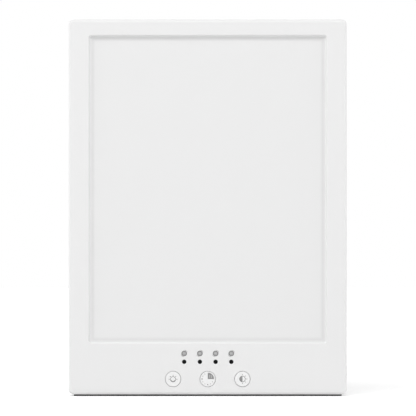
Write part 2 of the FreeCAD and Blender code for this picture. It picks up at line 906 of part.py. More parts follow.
def folded_stand():
    """Outer form of the stand and its foot, folded up in the recess."""
    low = hinge_height
    profile = [
        (hinge_y - half_thickness, low),
        (hinge_y + half_thickness, low),
        (hinge_y + half_thickness, low + tip_outer),
        (hinge_y - half_thickness, low + tip_inner),
    ]
    plate = prism_along_x(profile, (-stand_half_width, stand_half_width))
    reach = (low - past, low + tip_inner)
    y = (hinge_y - stand_thickness, back_y + past)
    trim = slab(stand_half_width, reach, stand_tip_radius, y)
    lower_z = (low - past, low + stand_tip_radius * 2)
    lower = block((-stand_half_width, stand_half_width), y, lower_z)
    barrel = cross_rod(half_thickness, -stand_half_width, stand_half_width, hinge_y, low)
    return joined([plate.common(joined([trim, lower])), barrel])


def foot_space():
    """Space that belongs to the rubber foot, with the tenon that holds it in the stand."""
    start = hinge_height + foot_start
    wide = stand_half_width + past
    end = block((-wide, wide), (recess_floor_y - past, back_y + past), (start, start + tip_inner))
    half = stand_half_width - foot_tenon_inset
    tenon_z = (start - foot_tenon_height, start + past)
    tenon = block((-half, half), span(hinge_y, foot_tenon_thickness), tenon_z)
    return end.fuse(tenon)


def swung_open(shape):
    """Turns a piece of the folded stand to its open place, foot on the floor."""
    turned = shape.copy()
    turned.rotate(V(0, hinge_y, hinge_height), V(1, 0, 0), -fold_angle)
    return turned


def stand_pockets():
    """Pockets on the stand's inner side that leave a skin, side walls and a grid of ribs."""
    low = hinge_height + stand_pocket_start
    high = hinge_height + foot_start - foot_tenon_height - stand_rib
    wide = 2 * (stand_half_width - stand_side_wall)
    cell_x = (wide - (stand_pocket_columns - 1) * stand_rib) / stand_pocket_columns
    cell_z = (high - low - (stand_pocket_rows - 1) * stand_rib) / stand_pocket_rows
    y = (hinge_y - half_thickness - past, back_y - stand_skin)
    pockets = []
    for column in range(stand_pocket_columns):
        x = -wide / 2 + cell_x / 2 + column * (cell_x + stand_rib)
        for row in range(stand_pocket_rows):
            z = low + row * (cell_z + stand_rib)
            pockets.append(block(span(x, cell_x), y, (z, z + cell_z)))
    return pockets


def kickstand():
    """Ribbed swing-out leg, round at its hinge end."""
    bores = []
    for side in (-1, 1):
        bore_end = stand_half_width - hinge_pin_grip - hinge_pin_end_gap
        x = sorted((side * bore_end, side * (stand_half_width + past)))
        bores.append(cross_rod(hinge_pin_radius + hinge_pin_gap, *x, hinge_y, hinge_height))
    leg = folded_stand().cut([foot_space()] + bores + stand_pockets())
    return swung_open(leg)


def stand_foot():
    """Rubber tip that rests flat on the floor."""
    return swung_open(folded_stand().common(foot_space()))


def case_screws():
    """Screws that hold the rear cover."""
    return group([
        screw(spot, head_seat_y, case_screw_radius, case_screw_length, case_head)
        for spot in case_screw_spots
    ])


def small_screws(spots, seat_y):
    """Short screws for the backplate and the board."""
    return group([
        screw(spot, seat_y, small_screw_radius, small_screw_length, small_head)
        for spot in spots
    ])


parts = {
    "front_bezel": front_bezel(),
    "rear_cover": rear_cover(),
    "base_pad": base_pad(),
    "diffuser_panel": diffuser_panel(),
    "light_guide_plate": light_guide_plate(),
    "reflector_sheet": reflector_sheet(),
    "panel_backplate": panel_backplate(),
    "light_strip_left": light_strip(-1),
    "light_strip_right": light_strip(1),
    "edge_lights_left": edge_lights(-1),
    "edge_lights_right": edge_lights(1),
    "strip_links": strip_links(),
    "control_board": control_board(),
    "tact_switches": tact_switches(),
    "indicator_lenses": indicator_lenses(),
    "indicator_chips": indicator_chips(),
    "power_inlet": power_inlet(),
    "inlet_centre_pin": inlet_centre_pin(),
    "inductor_core": inductor_core(),
    "inductor_winding": inductor_winding(),
    "smoothing_capacitors": smoothing_capacitors(),
    "board_chips": board_chips(),
    "case_screws": case_screws(),
    "backplate_screws": small_screws(plate_screw_spots, plate_back_y),
    "board_screws": small_screws(board_screw_spots, board_back_y),
    "hinge_pins": hinge_pins(),
    "friction_washers": friction_washers(),
    "kickstand": kickstand(),
    "stand_foot": stand_foot(),
}
for name, x in zip(("power", "timer", "brightness"), button_xs):
    parts[f"{name}_button"] = round_button(x)
    parts[f"{name}_plunger"] = switch_plunger(x)

os.makedirs("parts", exist_ok=True)
for node, shape in parts.items():
    shape.exportStep(f"parts/{node}.step")
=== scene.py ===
import math

import bmesh
import bpy
from mathutils import Matrix, Vector


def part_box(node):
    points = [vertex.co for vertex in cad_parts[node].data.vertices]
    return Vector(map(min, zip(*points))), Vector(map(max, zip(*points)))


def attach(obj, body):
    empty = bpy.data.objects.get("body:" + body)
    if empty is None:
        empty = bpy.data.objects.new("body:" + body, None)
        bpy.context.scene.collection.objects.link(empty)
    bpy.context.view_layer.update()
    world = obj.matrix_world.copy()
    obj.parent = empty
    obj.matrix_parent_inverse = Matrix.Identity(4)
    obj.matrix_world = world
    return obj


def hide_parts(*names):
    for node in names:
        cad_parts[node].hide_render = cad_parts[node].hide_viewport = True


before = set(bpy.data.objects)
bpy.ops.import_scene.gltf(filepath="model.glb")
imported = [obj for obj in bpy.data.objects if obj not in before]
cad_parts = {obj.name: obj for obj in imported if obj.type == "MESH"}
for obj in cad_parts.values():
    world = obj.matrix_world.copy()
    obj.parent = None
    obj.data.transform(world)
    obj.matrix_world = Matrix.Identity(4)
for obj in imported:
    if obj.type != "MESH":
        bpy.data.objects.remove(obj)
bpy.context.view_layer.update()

MM = 0.001

# Photograph: millimetres to a pixel, and where its middle falls on the lamp
PIXEL = 0.79 * MM
PIXELS_ACROSS = 416
VIEW_CENTRE = (0.2 * MM, 148.7 * MM)
CAMERA_DISTANCE = 3.0
SENSOR = 36.0

# Studio: share of the light from the lamp above, where it hangs, and its size
LAMP_SHARE = 0.45
LAMP_ELEVATION = math.radians(49)
LAMP_SIDEWAYS = math.radians(-16)
LAMP_DISTANCE = 5.0
LAMP_SIZE = 2.7

# Light from the surroundings: what all directions give, what the sides add, what the
# right side adds to that, and what comes from behind
ROOM_LIGHT = 0.219
ROOM_SIDES = 1.33
ROOM_RIGHT = 0.28
ROOM_BACK = 0.89
FLOOR_SIZE = 8.0
FLOOR_TONE = 0.9
FLOOR_LIFT = 0.22
FLOOR_FADE = (0.3, 1.0)
FLOOR_FAR_LIFT = 0.45

# Opening that shows the opal sheet, and how far the shade painted along its edge under the frame
# reaches over it
PANE_HALF_WIDTH = 91.3 * MM
PANE_ENDS = (44.4 * MM, 282.6 * MM)
SHADE_REACH = 2.6 * MM
SHADE_DEPTH = 0.085
# Painted shade in the window's cove: where it starts and is full outside the pane, its depth, the
# extra depth over the top, and the plane in front of which it lies
COVE_SHADE = (-2.2 * MM, -1.2 * MM)
COVE_SHADE_DEPTH = 0.055
COVE_TOP_SHADE = 0.08
COVE_BACK = -9.3 * MM

# Printed marks stand this far out of the plastic and reach this far into it
INK_PROUD = 0.02 * MM
INK_ROOT = 0.02 * MM
NUMERAL_PROUD = 0.035 * MM
ARC_STEP = math.radians(7.5)

# Indicator windows, left to right, and the minutes printed above them
MINUTES = ("15", "30", "45", "60")
INDICATOR_PITCH = 12.4 * MM
MARK_RISE = 6.6 * MM
WINDOW_RADIUS = 1.55 * MM
WINDOW_RIM_RADIUS = 1.75 * MM

# Printed symbols, from the middle of their key: rings and bands by their two radii
POWER_DROP = 0.15 * MM
POWER_RING = (1.8 * MM, 2.25 * MM)
POWER_BOWL = (1.5 * MM, 2.35 * MM)
POWER_RAYS = (2.65 * MM, 3.4 * MM)
POWER_RAY_WIDTH = 0.5 * MM
CLOCK_RADIUS = 5.0 * MM
HOUR_CIRCLE = 4.5 * MM
HOUR_DOT = 0.3 * MM
LARGE_HOUR_DOTS = {6: 0.48 * MM, 9: 0.5 * MM}
CLOCK_NUMERAL = (2.2 * MM, 1.95 * MM)
CLOCK_NUMERAL_HEIGHT = 2.9 * MM
DISC_RING = (2.05 * MM, 2.5 * MM)
DISC_RAY_START = 2.9 * MM
DISC_RAY_ENDS = {90: 3.8 * MM, -90: 3.8 * MM, 0: 3.9 * MM, 45: 3.7 * MM, -45: 3.7 * MM}
DISC_RAY_WIDTH = 0.42 * MM

# Round marks over the indicator windows
MARK_RIM = (1.6 * MM, 2.2 * MM)
MARK_SWEEP = (2.45 * MM, 2.85 * MM)
SWEEP_STARTS = (20, 200)
SWEEP_TURN = math.radians(60)
MARK_NUMERAL_HEIGHT = 1.9 * MM
NUMERAL_STEPS = 3
FULL_TURN = 2 * math.pi

# Screws: core's and cross's share of the shank's and head's radius, thread's share of
# the shank's length and where it starts, and a turn's rise as a share of the radius
CORE_SHARE = 0.8
CROSS_SHARE = 1.15
THREAD_SHARE = 0.94
THREAD_START = 0.97
THREAD_RISE = 0.55

# Piece, its node, and its shank radius, head height, recess width and seed
SCREW_KINDS = (
    ("rear_cover_screws", "case_screws", 1.45 * MM, 2.0 * MM, 0.85 * MM, 3),
    ("plate_screws", "backplate_screws", 1.2 * MM, 1.5 * MM, 0.7 * MM, 5),
    ("circuit_screws", "board_screws", 1.2 * MM, 1.5 * MM, 0.7 * MM, 8),
)

# Light-emitting chips: the phosphor lies this many rim widths below the frame's face
LAMP_SINK = 1.2

# Inductor's waist and wire, and the legs of the chips by how many sides have them
DRUM_RADIUS = 3.6 * MM
WIRE_RADIUS = 0.24 * MM
LEG_PITCH = {2: 1.1 * MM, 4: 0.8 * MM}
LEG_REACH = 1.0 * MM
LEG_WIDTH = 0.3 * MM

# Points closer than this are one, in print and in a node's solids
PRINT_WELD = 1e-7
SOLID_WELD = 1e-6

# Skins: where most of a noise lies, and how strongly each effect follows it
NOISE_SPAN = (0.25, 0.75)
CLOUD_SCALE = 18.0
GLOSS_SWING = (-0.05, 0.05)
STREAK_STRENGTH = 0.3
STREAK_DEPTH = 0.01 * MM
SPECK_SCALE = 700.0
SPECK_FADE = (0.4, 0.7)

# Power inlet's bore, painted dark as shade, from its axis, and the bare end of a capacitor's can
BORE_FADE = (3.0 * MM, 3.1 * MM)
CAN_FADE = (0.05 * MM, 0.02 * MM)

# Board, in centimetres: rows of tracks with gaps between them, and groups of lands
BOARD_SCALE = 100
TRACK_ROWS = {
    "Scale": 1.0, "Mortar Size": 0.014, "Mortar Smooth": 0.2, "Brick Width": 1.7, "Row Height": 0.2,
}
TRACK_OFFSET = 0.37
TRACK_STRETCHES = 0.75
TRACK_FADE = (0.47, 0.49)
TRACK_SHARE = 0.65
LAND_SPOTS = {"Scale": 3.6, "Randomness": 0.35}
LAND_EDGE = (0.13, 0.16)
LAND_PATCHES = 1.1
LAND_FADE = (0.53, 0.55)

# Fine dots on the light guide
DOT_SCALE = 700.0
DOT_EDGE = (0.18, 0.24)
DOT_SHARE = 0.6


def grey(tone):
    """Linear colour of a neutral grey, from its tone in a picture, 0 to 255."""
    share = tone / 255
    value = share / 12.92 if share <= 0.04045 else ((share + 0.055) / 1.055) ** 2.4
    return (value, value, value, 1.0)


# Node trees


def add(tree, kind, values=None, **settings):
    """One node, with its settings, and its inputs given as numbers or as sockets to join."""
    node = tree.nodes.new(kind)
    for key, value in settings.items():
        setattr(node, key, value)
    for key, value in (values or {}).items():
        socket = node.inputs[key]
        if isinstance(value, bpy.types.NodeSocket):
            tree.links.new(value, socket)
        else:
            socket.default_value = value
    return node


def titled(key):
    """Name of an input, from the keyword that stands for it."""
    return key.replace("_", " ").title()


def new_group(name, kind, inputs, outputs):
    """Node group with named inputs and outputs; returns it with its two end nodes."""
    group = bpy.data.node_groups.new(name, kind)
    interface = group.interface
    for label, (kind_of, value) in inputs.items():
        socket = interface.new_socket(label, in_out="INPUT", socket_type="NodeSocket" + kind_of)
        if value is not None:
            socket.default_value = value
    for label, kind_of in outputs.items():
        interface.new_socket(label, in_out="OUTPUT", socket_type="NodeSocket" + kind_of)
    start = group.nodes.new("NodeGroupInput")
    end = group.nodes.new("NodeGroupOutput")
    return group, start.outputs, end.inputs


def stretched(tree, place, scale):
    """The place with each direction scaled by its own amount."""
    return add(tree, "ShaderNodeMapping", {"Vector": place, "Scale": scale}).outputs["Vector"]


def noise(tree, place, scale, detail=2.0):
    """Noise between 0 and 1."""
    values = {"Vector": place, "Scale": scale, "Detail": detail}
    return add(tree, "ShaderNodeTexNoise", values).outputs["Fac"]


def math_node(tree, operation, *values):
    """One sum, with two or three numbers or sockets."""
    return add(tree, "ShaderNodeMath", dict(enumerate(values)), operation=operation).outputs[0]


def ranged(tree, value, low, high, new_low, new_high):
    """Carries a value from one range to another, held to its ends."""
    ends = {"From Min": low, "From Max": high, "To Min": new_low, "To Max": new_high}
    return add(tree, "ShaderNodeMapRange", {"Value": value, **ends}).outputs["Result"]


def mixed(tree, share, first, second, blend_type="MIX"):
    """Two colours mixed by a share."""
    values = {0: share, 6: first, 7: second}
    node = add(tree, "ShaderNodeMix", values, data_type="RGBA", blend_type=blend_type)
    return node.outputs[2]


def vector_of(tree, **parts):
    """A vector from its parts, given as numbers or sockets; a part left out is 0."""
    return add(tree, "ShaderNodeCombineXYZ", {k.upper(): v for k, v in parts.items()}).outputs[0]


def toned(tree, colour, factor):
    """A colour made lighter or darker by a factor."""
    wide = add(tree, "ShaderNodeCombineColor", {"Red": factor, "Green": factor, "Blue": factor})
    return mixed(tree, 1.0, colour, wide.outputs["Color"], "MULTIPLY")


SKIN_OUTPUTS = {"Colour": "Color", "Roughness": "Float", "Normal": "Vector"}


def make_moulded_skin():
    """Fine moulded texture: cloudy tone, small pits, and sheen that varies a little."""
    inputs = {
        "Place": ("Vector", None),
        "Colour": ("Color", (0.8, 0.8, 0.8, 1.0)),
        "Cloud": ("Float", 0.01),
        "Grain Scale": ("Float", 2600.0),
        "Grain Depth": ("Float", 0.02 * MM),
        "Roughness": ("Float", 0.45),
    }
    group, given, result = new_group("moulded_skin", "ShaderNodeTree", inputs, SKIN_OUTPUTS)
    cloud = noise(group, given["Place"], CLOUD_SCALE, 4.0)
    fine = noise(group, given["Place"], given["Grain Scale"], 2.0)
    swing = math_node(group, "MULTIPLY", math_node(group, "SUBTRACT", cloud, 0.5), given["Cloud"])
    factor = math_node(group, "ADD", swing, 1.0)
    group.links.new(toned(group, given["Colour"], factor), result["Colour"])
    gloss = ranged(group, fine, *NOISE_SPAN, *GLOSS_SWING)
    group.links.new(math_node(group, "ADD", given["Roughness"], gloss), result["Roughness"])
    relief = {"Strength": 1.0, "Distance": given["Grain Depth"], "Height": fine}
    bump = add(group, "ShaderNodeBump", relief)
    group.links.new(bump.outputs["Normal"], result["Normal"])
    return group


def make_brushed_skin():
    """Drawn or ground metal: long fine streaks in tone, gloss and relief."""
    inputs = {
        "Place": ("Vector", None),
        "Colour": ("Color", (0.6, 0.6, 0.6, 1.0)),
        "Streak": ("Float", 0.15),
        "Streak Scale": ("Float", 900.0),
        "Roughness": ("Float", 0.3),
    }
    group, given, result = new_group("brushed_skin", "ShaderNodeTree", inputs, SKIN_OUTPUTS)
    streak = noise(group, given["Place"], given["Streak Scale"], 3.0)
    swing = math_node(group, "MULTIPLY", math_node(group, "SUBTRACT", streak, 0.5), given["Streak"])
    factor = math_node(group, "ADD", swing, 1.0)
    group.links.new(toned(group, given["Colour"], factor), result["Colour"])
    group.links.new(math_node(group, "ADD", given["Roughness"], swing), result["Roughness"])
    relief = {"Strength": STREAK_STRENGTH, "Distance": STREAK_DEPTH, "Height": streak}
    bump = add(group, "ShaderNodeBump", relief)
    group.links.new(bump.outputs["Normal"], result["Normal"])
    return group


def make_settled_dust():
    """Mask of pale dust that gathers towards the floor."""
    inputs = {"Place": ("Vector", None), "Height": ("Float", 4.0 * MM), "Amount": ("Float", 0.3)}
    group, given, result = new_group("settled_dust", "ShaderNodeTree", inputs, {"Dust": "Float"})
    height = add(group, "ShaderNodeSeparateXYZ", {"Vector": given["Place"]}).outputs["Z"]
    low = math_node(group, "SUBTRACT", 1.0, math_node(group, "DIVIDE", height, given["Height"]))
    near = math_node(group, "MAXIMUM", low, 0.0)
    speck = ranged(group, noise(group, given["Place"], SPECK_SCALE, 4.0), *SPECK_FADE, 0.0, 1.0)
    spread = math_node(group, "MULTIPLY", near, speck)
    group.links.new(math_node(group, "MULTIPLY", spread, given["Amount"]), result["Dust"])
    return group


moulded_skin = make_moulded_skin()
brushed_skin = make_brushed_skin()
settled_dust = make_settled_dust()

# Shader inputs whose names don't follow from the word used for them here
SOCKETS = {"specular_level": "Specular IOR Level"}


def new_material(name, **even):
    """Material with its even values on the shader; returns it, its tree, shader and place."""
    material = bpy.data.materials.new(name)
    material.use_nodes = True
    tree = material.node_tree
    shader = tree.nodes["Principled BSDF"]
    for key, value in even.items():
        shader.inputs[SOCKETS.get(key, titled(key))].default_value = value
    place = add(tree, "ShaderNodeTexCoord").outputs["Object"]
    return material, tree, shader, place


def wear(tree, shader, group, **values):
    """Places a skin group in a material and joins what it puts out to the shader."""
    named = {titled(key): value for key, value in values.items()}
    skin = add(tree, "ShaderNodeGroup", named, node_tree=group)
    ends = {"Colour": "Base Color", "Roughness": "Roughness", "Normal": "Normal"}
    for output, socket in ends.items():
        tree.links.new(skin.outputs[output], shader.inputs[socket])


def moulded(
    name, colour, roughness, grain_depth=0.012 * MM, grain_scale=2600.0, cloud=0.012, **even
):
    """Moulded plastic or rubber; what is even all over goes by name to the shader."""
    material, tree, shader, place = new_material(name, **even)
    wear(
        tree, shader, moulded_skin, place=place, colour=colour, cloud=cloud,
        grain_scale=grain_scale, grain_depth=grain_depth, roughness=roughness,
    )
    return material


def metal(name, colour, roughness, stretch, streak=0.16, streak_scale=900.0):
    """Bare metal with streaks along one direction."""
    material, tree, shader, place = new_material(name, metallic=1.0)
    wear(
        tree, shader, brushed_skin, place=stretched(tree, place, stretch), colour=colour,
        streak=streak, streak_scale=streak_scale, roughness=roughness,
    )
    return material


def base_link(tree, shader):
    """Takes the colour off the shader and gives back the socket that fed it."""
    link = shader.inputs["Base Color"].links[0]
    source = link.from_socket
    tree.links.remove(link)
    return source


def paint_over(material, mask, colour):
    """Lays a colour over a material's own where a mask is 1; mask is made by a function."""
    tree = material.node_tree
    shader = tree.nodes["Principled BSDF"]
    place = next(n for n in tree.nodes if n.type == "TEX_COORD").outputs["Object"]
    under = base_link(tree, shader)
    tree.links.new(mixed(tree, mask(tree, place), under, colour), shader.inputs["Base Color"])
    return material


def axis_of(tree, place, axis):
    """One of the place's X, Y and Z."""
    return add(tree, "ShaderNodeSeparateXYZ", {"Vector": place}).outputs[axis]


def bore_painted_shade(tree, place):
    """1 within the bore of the power inlet, where its white is painted dark as shade."""
    low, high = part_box("inlet_centre_pin")
    centre = (low + high) / 2
    from_axis = {0: place, 1: (0, centre.y, centre.z)}
    offset = add(tree, "ShaderNodeVectorMath", from_axis, operation="SUBTRACT").outputs[0]
    flat = add(tree, "ShaderNodeVectorMath", {0: offset, 1: (0, 1, 1)}, operation="MULTIPLY")
    reach = add(tree, "ShaderNodeVectorMath", {0: flat.outputs[0]}, operation="LENGTH")
    return ranged(tree, reach.outputs["Value"], *BORE_FADE, 1.0, 0.0)


def board_plane(tree, place):
    """The place seen square to the board, in centimetres."""
    parts = add(tree, "ShaderNodeSeparateXYZ", {"Vector": place}).outputs
    flat = vector_of(tree, x=parts["X"], y=parts["Z"])
    return stretched(tree, flat, (BOARD_SCALE, BOARD_SCALE, BOARD_SCALE))


def copper_tracks(tree, place):
    """Straight tracks under the board's lacquer, in some stretches of it."""
    flat = board_plane(tree, place)
    rows = add(tree, "ShaderNodeTexBrick", {"Vector": flat, **TRACK_ROWS}, offset=TRACK_OFFSET)
    patches = noise(tree, flat, TRACK_STRETCHES, 1.0)
    stretch = ranged(tree, patches, *TRACK_FADE, 0.0, TRACK_SHARE)
    return math_node(tree, "MULTIPLY", rows.outputs["Fac"], stretch)


def solder_lands(tree, place):
    """Small round tinned lands in groups."""
    flat = board_plane(tree, place)
    spots = add(tree, "ShaderNodeTexVoronoi", {"Vector": flat, **LAND_SPOTS})
    land = ranged(tree, spots.outputs["Distance"], *LAND_EDGE, 1.0, 0.0)
    patch = ranged(tree, noise(tree, flat, LAND_PATCHES, 1.0), *LAND_FADE, 0.0, 1.0)
    return math_node(tree, "MULTIPLY", land, patch)


def can_top(tree, place):
    """1 on the bare end of a capacitor's can."""
    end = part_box("smoothing_capacitors")[1].y
    start, full = CAN_FADE
    return ranged(tree, axis_of(tree, place, "Y"), end - start, end - full, 0.0, 1.0)


def guide_dots(tree, place):
    """Fine dots that turn the light out of the guide plate."""
    values = {"Vector": place, "Scale": DOT_SCALE, "Randomness": 0.0}
    cells = add(tree, "ShaderNodeTexVoronoi", values)
    return ranged(tree, cells.outputs["Distance"], *DOT_EDGE, DOT_SHARE, 0.0)


def pane_inset(tree, place):
    """How far a place lies inside the edge of the pane; outside it is less than 0."""
    parts = add(tree, "ShaderNodeSeparateXYZ", {"Vector": place}).outputs
    low, high = PANE_ENDS
    sideways = math_node(tree, "ABSOLUTE", parts["X"])
    from_side = math_node(tree, "SUBTRACT", PANE_HALF_WIDTH, sideways)
    from_low = math_node(tree, "SUBTRACT", parts["Z"], low)
    from_high = math_node(tree, "SUBTRACT", high, parts["Z"])
    return math_node(tree, "MINIMUM", from_side, math_node(tree, "MINIMUM", from_low, from_high))


def painted_frame_shade(tree, place):
    """Painted shade: darkens the edge of the opal sheet, where the window's frame would lay its
    shade.
    """
    return ranged(tree, pane_inset(tree, place), 0.0, SHADE_REACH, SHADE_DEPTH, 0.0)


def painted_cove_shade(tree, place):
    """Painted shade in the cove round the pane, deeper over its top, short of the bright lip."""
    overhead = math_node(tree, "GREATER_THAN", axis_of(tree, place, "Z"), PANE_ENDS[1])
    depth = math_node(tree, "MULTIPLY_ADD", overhead, COVE_TOP_SHADE, COVE_SHADE_DEPTH)
    band = ranged(tree, pane_inset(tree, place), *COVE_SHADE, 0.0, depth)
    in_front = math_node(tree, "LESS_THAN", axis_of(tree, place, "Y"), COVE_BACK)
    return math_node(tree, "MULTIPLY", band, in_front)


def rubber(name):
    """Black rubber with settled dust near the floor."""
    material = moulded(name, grey(38), 0.72, grain_depth=0.02 * MM, grain_scale=1700.0, cloud=0.15)

    def dusty(tree, place):
        dust = add(tree, "ShaderNodeGroup", node_tree=settled_dust)
        tree.links.new(place, dust.inputs["Place"])
        return dust.outputs["Dust"]

    return paint_over(material, dusty, grey(150))


WHITE_CASE = grey(234.5)
WHITE_CAP = grey(240)
BLACK = grey(0)

# The case's white is painted darker in the window's cove: painted shade, deeper over the top
case_white = paint_over(moulded("moulded_white_case", WHITE_CASE, 0.46), painted_cove_shade, BLACK)
stand_white = moulded("moulded_white_stand", WHITE_CASE, 0.5, grain_depth=0.016 * MM)
cap_white = moulded("satin_white_cap", WHITE_CAP, 0.34, grain_depth=0.004 * MM)
# The inlet's white body is painted dark inside its bore: painted shade
inlet_white = paint_over(moulded("white_inlet_body", grey(236), 0.4), bore_painted_shade, grey(30))
# The opal sheet is painted darker along its edge: painted shade where the frame shades it
opal = paint_over(
    moulded(
        "opal_diffuser", grey(233), 0.38, grain_depth=0.003 * MM, grain_scale=3800.0, cloud=0.004,
        coat_weight=0.15, coat_roughness=0.3,
    ),
    painted_frame_shade, BLACK,
)
film_white = moulded("white_reflector_film", grey(245), 0.25, grain_depth=0.002 * MM)
strip_white = moulded("white_strip_board", grey(228), 0.4, cloud=0.03)
lamp_frame = moulded("lamp_frame_white", grey(240), 0.4)
phosphor = moulded("lamp_phosphor", (0.78, 0.52, 0.09, 1.0), 0.5, cloud=0.1)
smoked = moulded("smoked_window", grey(4), 0.5, grain_depth=0.002 * MM, specular_level=0.1)
black_plastic = moulded("black_switch_plastic", grey(34), 0.5, cloud=0.05)
nylon = moulded("grey_nylon_washer", grey(168), 0.5, cloud=0.03)
ferrite = moulded("sintered_ferrite", grey(78), 0.62, grain_depth=0.03 * MM, cloud=0.2)
pad_rubber = rubber("pad_rubber")
green_board = paint_over(
    moulded("green_board", (0.012, 0.11, 0.045, 1.0), 0.35, cloud=0.05, coat_weight=0.4),
    copper_tracks, (0.04, 0.27, 0.11, 1.0),
)
green_board = paint_over(green_board, solder_lands, grey(196))
can_sleeve = paint_over(moulded("can_sleeve", (0.03, 0.04, 0.07, 1.0), 0.35), can_top, grey(196))
copper = metal("enamelled_copper_wire", (0.62, 0.24, 0.1, 1.0), 0.28, (1, 1, 1), streak=0.1)
plate_metal = metal("pressed_aluminium", grey(214), 0.36, (60, 1, 1), streak_scale=40.0)
zinc = metal("zinc_plated_steel", grey(196), 0.32, (1, 1, 1), streak=0.1, streak_scale=500.0)
pin_metal = metal("ground_steel_pin", grey(200), 0.22, (1, 20, 20), streak_scale=160.0)
nickel = metal("nickel_plated_pin", (0.62, 0.58, 0.5, 1.0), 0.2, (1, 1, 1), streak=0.06)
tin = metal("tinned_link", grey(205), 0.3, (1, 1, 1), streak=0.2, streak_scale=600.0)
guide_acrylic = paint_over(
    moulded(
        "guide_acrylic", grey(246), 0.12, grain_depth=0.001 * MM, cloud=0.01,
        coat_weight=0.8, coat_roughness=0.05,
    ),
    guide_dots, grey(214),
)
ink = moulded("grey_print", grey(140), 0.55, grain_depth=0.002 * MM, cloud=0.06)
ink_dark = moulded("black_window_rim", grey(16), 0.5, grain_depth=0.002 * MM, cloud=0.03)
ink_mark = moulded("grey_mark_rim", grey(114), 0.55, grain_depth=0.002 * MM, cloud=0.06)
ink_fill = moulded("grey_mark_field", grey(160), 0.55, grain_depth=0.002 * MM, cloud=0.04)
ink_sweep = moulded("grey_mark_sweep", grey(178), 0.55, grain_depth=0.002 * MM, cloud=0.03)
ink_pale = moulded("pale_print", grey(216), 0.55, grain_depth=0.002 * MM, cloud=0.03)

NODE_FINISH = {
    "front_bezel": case_white,
    "rear_cover": case_white,
    "kickstand": stand_white,
    "power_button": cap_white,
    "timer_button": cap_white,
    "brightness_button": cap_white,
    "power_plunger": black_plastic,
    "timer_plunger": black_plastic,
    "brightness_plunger": black_plastic,
    "base_pad": pad_rubber,
    "stand_foot": pad_rubber,
    "diffuser_panel": opal,
    "light_guide_plate": guide_acrylic,
    "reflector_sheet": film_white,
    "panel_backplate": plate_metal,
    "light_strip_left": strip_white,
    "light_strip_right": strip_white,
    "edge_lights_left": phosphor,
    "edge_lights_right": phosphor,
    "strip_links": tin,
    "control_board": green_board,
    "tact_switches": black_plastic,
    "indicator_lenses": smoked,
    "indicator_chips": phosphor,
    "power_inlet": inlet_white,
    "inlet_centre_pin": nickel,
    "inductor_core": ferrite,
    "inductor_winding": copper,
    "smoothing_capacitors": can_sleeve,
    "board_chips": black_plastic,
    "case_screws": zinc,
    "backplate_screws": zinc,
    "board_screws": zinc,
    "hinge_pins": pin_metal,
    "friction_washers": nylon,
}
for node_name, material in NODE_FINISH.items():
    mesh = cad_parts[node_name].data
    mesh.materials.clear()
    mesh.materials.append(material)


# Printed marks


def arc_points(centre, radius, start, turn):
    """Points on an arc in the upright plane; angles run from +X towards +Z."""
    steps = max(2, math.ceil(abs(turn) / ARC_STEP))
    angles = [start + turn * i / steps for i in range(steps + 1)]
    return [(centre[0] + radius * math.cos(a), centre[1] + radius * math.sin(a)) for a in angles]


def raise_shape(form, points, depth):
    """Closes a flat outline into a thin solid between two y values."""
    front, back = [[form.verts.new((x, y, z)) for x, z in points] for y in depth]
    form.faces.new(front)
    form.faces.new(back)
    for i in range(len(points)):
        j = (i + 1) % len(points)
        form.faces.new((front[i], front[j], back[j], back[i]))


def raise_arc(form, centre, inner, outer, start, turn, depth):
    """Thin solid band along an arc, in short straight-sided lengths joined end to end."""
    near = arc_points(centre, inner, start, turn)
    far = arc_points(centre, outer, start, turn)
    closed = abs(turn) >= FULL_TURN
    count = len(near) - 1 if closed else len(near)
    near_front, near_back, far_front, far_back = (
        [form.verts.new((x, y, z)) for x, z in side[:count]] for side in (near, far) for y in depth
    )
    for i in range(count if closed else count - 1):
        j = (i + 1) % count
        form.faces.new((near_front[i], near_front[j], far_front[j], far_front[i]))
        form.faces.new((near_back[i], near_back[j], far_back[j], far_back[i]))
        form.faces.new((near_front[i], near_front[j], near_back[j], near_back[i]))
        form.faces.new((far_front[i], far_front[j], far_back[j], far_back[i]))
    if not closed:
        for i in (0, count - 1):
            form.faces.new((near_front[i], far_front[i], far_back[i], near_back[i]))


def raise_stroke(form, centre, angle, near, far, width, depth):
    """Straight stroke pointing away from a centre."""
    along = Vector((math.cos(angle), math.sin(angle)))
    across = Vector((-along.y, along.x)) * width / 2
    middle = Vector(centre)
    ends = (middle + along * near, middle + along * far)
    corners = (ends[0] + across, ends[1] + across, ends[1] - across, ends[0] - across)
    raise_shape(form, [tuple(c) for c in corners], depth)


def raise_dot(form, centre, radius, depth):
    """Small round dot."""
    raise_shape(form, arc_points(centre, radius, 0, FULL_TURN)[:-1], depth)


def finished(form, name, material, body):
    """Turns a worked form into a piece that rides on a body."""
    bmesh.ops.recalc_face_normals(form, faces=form.faces)
    mesh = bpy.data.meshes.new(name)
    form.to_mesh(mesh)
    form.free()
    return piece_of(mesh, name, material, body)


def piece_of(mesh, name, material, body):
    """Object for a mesh that is already in place."""
    piece = bpy.data.objects.new(name, mesh)
    bpy.context.scene.collection.objects.link(piece)
    if material is not None:
        mesh.materials.clear()
        mesh.materials.append(material)
    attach(piece, body)
    return piece


def real_mesh(holder):
    """Plain mesh of a helper object as its curve or modifier shapes it; the helper goes."""
    bpy.context.scene.collection.objects.link(holder)
    bpy.context.view_layer.update()
    shaped = holder.evaluated_get(bpy.context.evaluated_depsgraph_get())
    mesh = bpy.data.meshes.new_from_object(shaped)
    bpy.data.objects.remove(holder)
    return mesh


